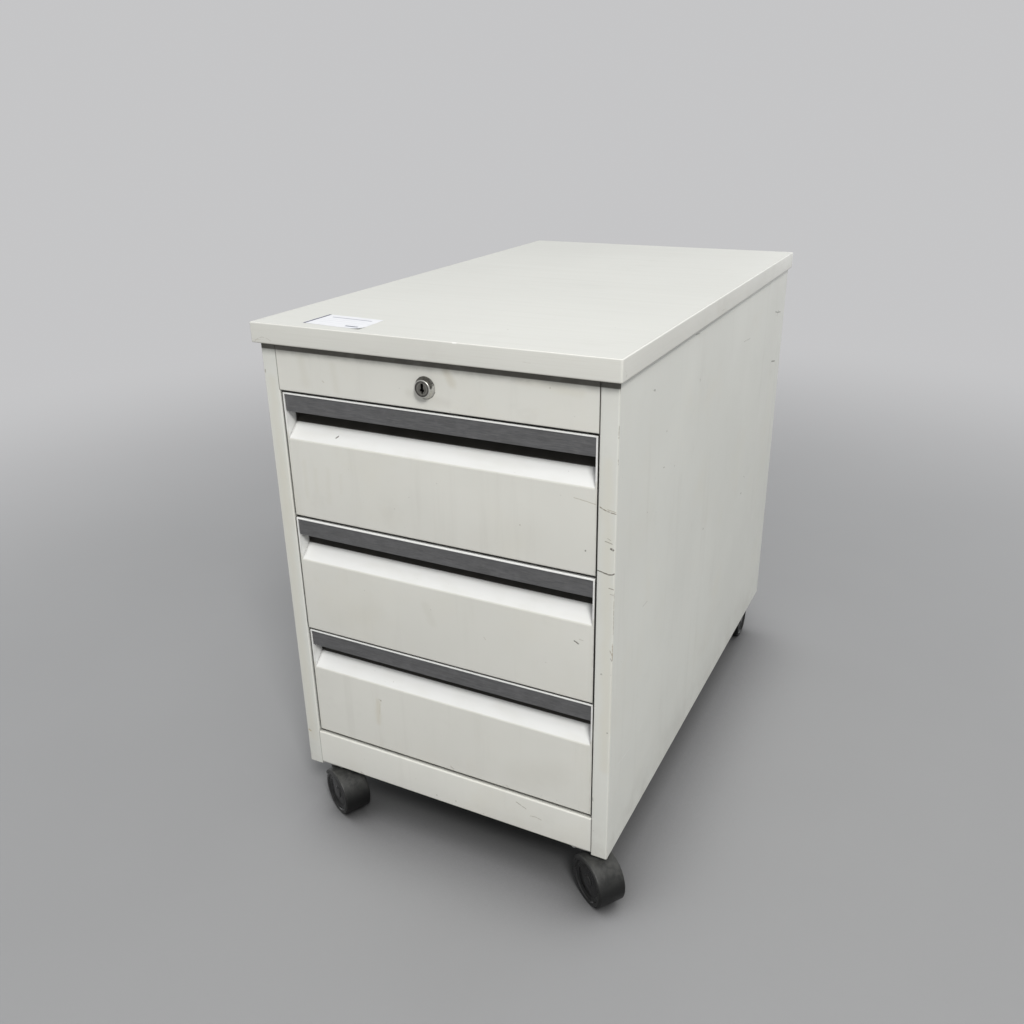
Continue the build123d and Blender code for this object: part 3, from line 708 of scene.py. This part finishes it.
def low_dust(lo, hi, strength, color=(0.42, 0.40, 0.35)):
    def f(g):
        k = g.step(g.xyz[2], hi * MM, lo * MM)
        return g.m("MULTIPLY", g.m("MULTIPLY", k, g.step(g.noise(34.0, 4.0, 0.65), 0.30, 0.72)), strength), color
    return f


def post_edge(g):
    # handling dirt along the folded corner of the post, and painted shade that dulls the highlight on its rounded edge
    x, y = g.m("ABSOLUTE", g.xyz[0]), g.xyz[1]
    k = g.m("MULTIPLY", g.step(x, 0.2142, 0.2148), g.step(y, -0.3679, -0.3686))
    return g.m("MULTIPLY", k, g.step(g.noise(40.0, 4.0, 0.6), 0.25, 0.65, to=(0.22, 0.55)))


M = {}
def on_post(marks):
    return [m for m in marks if m[0][0][1] < -368.0]


def on_side(marks):
    return [m for m in marks if m[0][0][1] >= -368.0]


SIDE = (0.728, 0.731, 0.680)
M["side_panel_right"] = [
    painted("paint_side_right", base=SIDE, marks=on_side(right_marks), light_marks=right_light, seed=1.0, streaks=0.9, dirt_and_shade=[low_dust(70, 150, 0.25)], gap_shade=0.85),
    painted("paint_post_right", base=SIDE, edges=post_edge, marks=on_post(right_marks), seed=1.0, streaks=0.9, seams=0.62,
            stains=[([(210, -369, 200), (207, -369, 420), (204, -369, 560)], 22.0, (0.67, 0.64, 0.53), 0.35)], dirt_and_shade=[low_dust(70, 150, 0.25), shade_under_top], gap_shade=0.9)]
M["side_panel_left"] = [
    painted("paint_side_left", base=SIDE, marks=on_side(left_marks), light_marks=left_light, seed=2.0, streaks=0.9, dirt_and_shade=[low_dust(70, 150, 0.25)], gap_shade=0.85),
    painted("paint_post_left", base=SIDE, edges=post_edge, marks=on_post(left_marks), seed=2.0, streaks=0.9, seams=0.85,
            stains=[([(-206, -369, 110), (-207, -369, 330), (-205, -369, 600)], 22.0, (0.67, 0.64, 0.53), 0.35)], dirt_and_shade=[low_dust(70, 150, 0.25), shade_under_top], gap_shade=0.9)]
M["lock_fascia"] = painted("paint_fascia", seed=3.0, streaks=1.1, patina=1.6, seams=0.85,
                           marks=[([(142.6, -369, 629.6)], 1.5, (0.3, 0.26, 0.2), 0.6), ([(-133.3, -369, 606.8), (-131, -369, 605.2)], 1.0, (0.38, 0.33, 0.25), 0.5)],
                           stains=[([(24, -369, 641), (29, -369, 630), (33, -369, 622)], 14.0, (0.54, 0.49, 0.37), 0.34),
                                   ([(-160, -369, 630), (-156, -369, 600)], 20.0, (0.60, 0.58, 0.49), 0.26),
                                   ([(-118, -369, 626), (-114, -369, 598)], 14.0, (0.60, 0.58, 0.49), 0.24),
                                   ([(-20, -369, 606), (26, -369, 600)], 16.0, (0.53, 0.51, 0.45), 0.26),
                                   ([(110, -369, 634), (175, -369, 628)], 16.0, (0.62, 0.59, 0.49), 0.24)],
                           # painted shadow: a dark crescent on the fascia under the lock's collar
                           light_marks=[([(12.25 * math.cos(math.radians(a)), -369, 614 + 12.25 * math.sin(math.radians(a))) for a in (-148, -122, -96, -70, -44, -18)],
                                         1.9, (0.060, 0.055, 0.042), 0.78)],
                           dirt_and_shade=[shade_under_top], gap_shade=0.9)
M["front_plinth"] = painted("paint_plinth", base=(0.785, 0.778, 0.720), seed=4.0, streaks=0.6, seams=0.6,
                            marks=[([(98.0, -369, 111.6), (111.0, -369, 105.8)], 1.3, (0.34, 0.31, 0.25), 0.7),
                                   ([(117.0, -369, 97.4), (124.0, -369, 98.4), (131.0, -369, 96.7)], 1.1, (0.34, 0.31, 0.25), 0.55),
                                   ([(-15.0, -369, 80.9)], 1.6, (0.25, 0.22, 0.17), 0.7), ([(12.8, -369, 81.6)], 1.4, (0.25, 0.22, 0.17), 0.7),
                                   ([(-132.0, -369, 76.5), (-128.0, -369, 75.0)], 1.5, (0.33, 0.30, 0.24), 0.6)],
                            dirt_and_shade=[low_dust(73, 100, 0.08)], gap_shade=0.9)
drawer_marks = {
    "top": dict(marks=[([(-126.3, -358.4, 540.4), (-128.4, -360.4, 538.4)], 1.7, DARK, 0.9),
                       ([(168.0, -367, 518.6), (180.2, -367, 517.0), (191.5, -367, 515.2)], 0.8, (0.36, 0.31, 0.23), 0.6),
                       ([(181.6, -367, 462.1)], 2.0, DARK, 0.7), ([(107.2, -367, 477.1)], 1.6, (0.35, 0.31, 0.25), 0.6)],
                stains=[([(-172, -367, 462), (-173, -367, 506)], 12.0, (0.60, 0.575, 0.47), 0.16),
                        ([(-158, -367, 470), (-157, -367, 498)], 9.0, (0.60, 0.575, 0.47), 0.15),
                        ([(-142, -367, 460), (-140, -367, 500)], 12.0, (0.57, 0.55, 0.46), 0.13),
                        ([(-122, -367, 476), (-121, -367, 497)], 9.0, (0.60, 0.575, 0.47), 0.12),
                        ([(60, -367, 450), (120, -367, 470)], 60.0, (0.58, 0.565, 0.50), 0.14)]),
    "middle": dict(marks=[([(170.8, -367.8, 353.6), (175.6, -367.8, 351.0)], 1.5, DARK, 0.8),
                          ([(176.5, -367.8, 357.0), (181.0, -367.8, 356.2)], 0.8, (0.35, 0.31, 0.25), 0.5),
                          ([(60.0, -367.8, 330.0), (62.0, -367.8, 327.0)], 1.0, (0.45, 0.42, 0.36), 0.6)],
                   stains=[([(-17, -367.8, 353), (-8, -367.8, 333)], 18.0, (0.58, 0.565, 0.49), 0.24),
                           ([(-150, -367.8, 300), (-90, -367.8, 330)], 50.0, (0.60, 0.58, 0.49), 0.14)]),
    "bottom": dict(marks=[([(-94.6, -366.1, 200.0), (-92.0, -366.1, 198.4)], 1.6, (0.24, 0.19, 0.12), 0.8),
                          ([(-94.0, -366.1, 193.0), (-95.5, -366.1, 178.0)], 1.2, (0.50, 0.44, 0.32), 0.4),
                          ([(6.0, -366.1, 131.0), (10.0, -366.1, 128.0)], 1.2, (0.30, 0.26, 0.2), 0.6),
                          ([(83.0, -366.1, 129.5), (87.0, -366.1, 127.0)], 1.1, (0.36, 0.33, 0.27), 0.5)],
                   stains=[([(-96, -366.1, 196), (-98, -366.1, 165)], 14.0, (0.58, 0.52, 0.38), 0.30),
                           ([(100, -366.1, 150), (150, -366.1, 170)], 60.0, (0.58, 0.56, 0.49), 0.18)]),
}
for k, v in drawer_marks.items():
    zt = DRAWERS[k][0]

    def rim(g, zt=zt):
        # grime gathers along the cut edges of the front
        zb = (zt - 152.5) * MM
        low = g.step(g.xyz[2], zb + 0.004, zb)
        side = g.m("MULTIPLY", g.step(g.m("ABSOLUTE", g.xyz[0]), 0.1895, 0.1928), g.step(g.m("ABSOLUTE", g.xyz[0]), 0.19298, 0.1928))
        k2 = g.m("MAXIMUM", low, side)
        return g.m("MULTIPLY", g.m("MULTIPLY", k2, g.step(g.noise(90.0, 4.0, 0.6), 0.35, 0.7)), 0.26)

    def slope_lip_painted_light(g, zt=zt, yf=-367.0 + DRAWERS[k][1]):
        # painted light: the slope under the grip and the lips round the strip are painted near white
        y, z = g.xyz[1], g.xyz[2]
        on = g.m("MULTIPLY", g.step(y, (yf + 0.3) * MM, (yf + 1.2) * MM), g.step(z, (zt - 55.6) * MM, (zt - 54.9) * MM))
        ends = g.m("MULTIPLY", g.step(g.m("ABSOLUTE", g.xyz[0]), 0.1906, 0.1911), g.step(z, (zt - 50.0) * MM, (zt - 45.0) * MM))
        lip = g.m("MULTIPLY", g.m("MAXIMUM", g.step(z, (zt - 2.5) * MM, (zt - 2.1) * MM), ends), 0.9)
        inside = g.step(g.m("ABSOLUTE", g.xyz[0]), 0.19295, 0.1927)
        lit_slope = g.m("MULTIPLY", on, g.step(g.noise(60.0, 3.0, stretch=(0.4, 1.0, 1.0)), 0.25, 0.6, to=(0.7, 1.0)))
        return g.m("MULTIPLY", g.m("MAXIMUM", lip, lit_slope), inside)
    M["drawer_front_" + k] = painted("paint_drawer_" + k, seed=5.0 + len(k) * 0.7, edges=rim, gap_shade=0.9, painted_light=slope_lip_painted_light, **v)
    M["drawer_tray_" + k] = painted("paint_tray_" + k, base=(0.70, 0.695, 0.645), seed=9.0 + len(k), streaks=0.3, patina=0.7, specks=1.6)
inner_paint = painted("paint_inside", base=(0.70, 0.695, 0.645), seed=12.0, streaks=0.5, patina=0.6)
M["back_panel"] = painted("paint_back", base=(0.722, 0.722, 0.668), seed=13.0, streaks=1.0, specks=1.2,
                          marks=[([(-120, 369, 180), (-98, 369, 176)], 1.4, (0.28, 0.26, 0.21), 0.6), ([(140, 369, 330), (148, 369, 352)], 1.1, (0.30, 0.28, 0.22), 0.55),
                                 ([(40, 369, 560)], 2.4, (0.2, 0.18, 0.14), 0.6), ([(-170, 369, 420), (-166, 369, 398)], 1.2, (0.30, 0.28, 0.22), 0.5)],
                          dirt_and_shade=[low_dust(70, 150, 0.3)], gap_shade=0.85)
M["bottom_panel"] = inner_paint
M["rear_top_rail"] = inner_paint
zn = zinc()
lam, band = laminate(), edge_band()
strip_mat = brushed_strip()
pocket_shade_mat = plastic("pocket_painted_shade", (0.0400, 0.0370, 0.0310), rough=(0.5, 0.65), grain=0.03)
hood_mat = plastic("castor_hood", (0.036, 0.0365, 0.035), rough=(0.36, 0.48), dust=0.12, grain=0.04, scuff=0.10, low=0.12, spec=0.30)
wheel_mat = plastic("castor_tread", (0.0065, 0.0065, 0.0065), rough=(0.24, 0.36), dust=0.05, grain=0.02, scuff=0.10, spec=0.50)
barrel_mat = nickel("nickel_barrel")
plug_mat = nickel("nickel_plug", plug=True)

# ------------------------------------------------------------------ parts that keep the CAD shape, with rounded edges
sheet = {"side_panel_left": 0.30, "side_panel_right": 0.30, "lock_fascia": 0.25, "front_plinth": 0.30, "back_panel": 0.30, "bottom_panel": 0.25,
         "rear_top_rail": 0.25}
for n, w in sheet.items():
    refine(n, w, 2, mat=M[n])
for k in DRAWERS:
    refine("drawer_front_" + k, 0.45, 3, mat=M["drawer_front_" + k])
    refine("drawer_tray_" + k, 0.30, 2, mat=M["drawer_tray_" + k])
    refine("grip_strip_" + k, 0.35, 3, mat=strip_mat)
    # painted shade: the grip pockets are a near-black part where the recess behind the strip lies in shade
    refine("grip_pocket_" + k, 0.25, 2, mat=pocket_shade_mat)
refine("top_board", 0.0, mat=lam)
refine("top_edge_band", 0.0, mat=band)
for n in CAD:
    if SLOT_OF[n] == "zinc_steel":
        refine(n, 0.2, 1 if "rails" in n or "screws" in n else 2, mat=zn)
refine("lock_barrel", 0.25, 3, mat=barrel_mat)
refine("lock_plug", 0.2, 2, mat=plug_mat)
for k in CASTORS:
    refine("castor_hood_" + k, 0.4, 3, mat=hood_mat)
    for w in "ab":
        wheel(k, w)


# ------------------------------------------------------------------ paper label on the top
def label():
    corners = [(-160.5, -359.2), (-81.1, -365.1), (-83.3, -315.2), (-159.5, -310.8)]
    nx, ny = 22, 14
    verts, faces = [], []
    for layer in (0, 1):
        for j in range(ny + 1):
            for i in range(nx + 1):
                s, t = i / nx, j / ny
                a = Vector(corners[0]).lerp(Vector(corners[1]), s)
                b = Vector(corners[3]).lerp(Vector(corners[2]), s)
                p = a.lerp(b, t)
                # a corner that has come loose and lifts a little, and slight waves
                lift = 1.1 * max(0.0, (s - 0.80) / 0.20) ** 2 * max(0.0, (0.30 - t) / 0.30) ** 1.5
                wave = 0.035 * (1 + math.sin(9.0 * s + 3.0 * t)) + 0.03 * (1 + math.sin(5.0 * t * 3.1 + 1.0))
                z = 667.02 + wave + lift + (0.11 if layer else 0.0)
                verts.append((p.x * MM, p.y * MM, z * MM))
    w = nx + 1
    off = w * (ny + 1)
    for j in range(ny):
        for i in range(nx):
            q = j * w + i
            faces.append((off + q, off + q + 1, off + q + w + 1, off + q + w))
            faces.append((q, q + w, q + w + 1, q + 1))
    ring = [i for i in range(nx + 1)] + [j * w + nx for j in range(1, ny + 1)] + [ny * w + i for i in range(nx - 1, -1, -1)] + [j * w for j in range(ny - 1, 0, -1)]
    for a, b in zip(ring, ring[1:] + ring[:1]):
        faces.append((a, b, off + b, off + a))
    me = bpy.data.meshes.new("blank_label")
    me.from_pydata(verts, [], faces)
    me.materials.append(paper())
    ob = link("blank_label", me)
    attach(ob, "carcass")


label()


# ------------------------------------------------------------------ floor, light
def floor():
    bm = bmesh.new()
    rings = [0.0, 0.6, 1.2, 2.0, 3.0, 4.5, 7.0, 12.0, 20.0]
    n = 64
    centre = bm.verts.new((0, 0, 0))
    prev = None
    for r in rings[1:]:
        cur = [bm.verts.new((r * math.cos(2 * math.pi * k / n), r * math.sin(2 * math.pi * k / n), 0)) for k in range(n)]
        for k in range(n):
            if prev is None:
                bm.faces.new((centre, cur[k], cur[(k + 1) % n]))
            else:
                bm.faces.new((prev[k], cur[k], cur[(k + 1) % n], prev[(k + 1) % n]))
        prev = cur
    me = bpy.data.meshes.new("studio_floor")
    bm.to_mesh(me)
    bm.free()
    g = Graph("studio_floor")
    base = (0.335, 0.335, 0.339)
    col = g.mix(g.step(g.noise(2.0, 3.0), 0.3, 0.7), base, tuple(c * 0.97 for c in base))
    # painted shadow: the floor is darkened where ambient occlusion finds the object close by
    ao = g.node("ShaderNodeAmbientOcclusion", samples=16)
    ao.inputs["Distance"].default_value = 0.19
    near_object = g.step(g.v("LENGTH", g.P), 1.5, 1.1)
    col = g.mix(g.m("MULTIPLY", g.step(ao.outputs["AO"], 0.93, 0.20, to=(0.0, 0.84)), near_object), col, (0.020, 0.020, 0.020))
    g.bump(g.noise(260.0, 3.0), 0.12, 0.25)
    g.done(col, 0.62, 0.0, spec=0.3)
    # far from the object the floor runs into the backdrop without a line
    em = g.node("ShaderNodeEmission")
    em.inputs["Color"].default_value = (BACK[0], BACK[1], BACK[2], 1.0)
    mixer = g.node("ShaderNodeMixShader")
    r = g.v("LENGTH", g.P)
    g.put(mixer.inputs[0], g.step(r, 0.70, 2.7))
    g.nt.links.new(g.bsdf.outputs[0], mixer.inputs[1])
    g.nt.links.new(em.outputs[0], mixer.inputs[2])
    out = [n for n in g.nt.nodes if n.type == "OUTPUT_MATERIAL"][0]
    g.nt.links.new(mixer.outputs[0], out.inputs["Surface"])
    me.materials.append(g.mat)
    ob = link("studio_floor", me)
    ob.location = (0, 0, -0.0002)


BACK = (0.560, 0.560, 0.568)


def world():
    w = bpy.data.worlds.new("studio")
    scene.world = w
    w.use_nodes = True
    nt = w.node_tree
    nt.nodes.clear()
    out = nt.nodes.new("ShaderNodeOutputWorld")
    seen = nt.nodes.new("ShaderNodeBackground")
    seen.inputs["Color"].default_value = (*BACK, 1.0)
    lit = nt.nodes.new("ShaderNodeBackground")
    lit.inputs["Color"].default_value = (0.96, 0.98, 1.0, 1.0)
    lit.inputs["Strength"].default_value = 0.35
    path = nt.nodes.new("ShaderNodeLightPath")
    mix = nt.nodes.new("ShaderNodeMixShader")
    nt.links.new(path.outputs["Is Camera Ray"], mix.inputs[0])
    nt.links.new(lit.outputs[0], mix.inputs[1])
    nt.links.new(seen.outputs[0], mix.inputs[2])
    nt.links.new(mix.outputs[0], out.inputs["Surface"])


def area(name, direction, distance, size, power, color=(1, 1, 1), size_y=None):
    data = bpy.data.lights.new(name, "AREA")
    data.shape = "RECTANGLE"
    data.size, data.size_y = size, size_y or size
    data.energy = power
    data.color = color
    ob = bpy.data.objects.new(name, data)
    scene.collection.objects.link(ob)
    d = Vector(direction).normalized()
    ob.location = Vector((0, 0, 0.35)) + d * distance
    ob.rotation_mode = "QUATERNION"
    ob.rotation_quaternion = (-d).to_track_quat("-Z", "Y")


world()
floor()
def power(k, distance):
    """Watts of an area light that gives the irradiance k, as a share of pi, at the object."""
    return k * math.pi ** 2 * distance ** 2


area("key", (0.44, -0.58, 0.68), 5.5, 1.2, power(0.585, 5.5), (1.0, 0.994, 0.982))
area("key_soft", (0.30, -0.42, 0.86), 5.5, 3.6, power(0.17, 5.5), (1.0, 0.996, 0.988))
area("overhead", (0.0, 0.0, 1.0), 4.0, 5.0, power(0.27, 4.0))
area("fill_left", (-0.93, 0.30, 0.22), 4.5, 3.0, power(0.16, 4.5), (0.97, 0.985, 1.0))
area("fill_rear", (0.20, 0.94, 0.25), 4.5, 3.0, power(0.15, 4.5), (0.97, 0.985, 1.0))
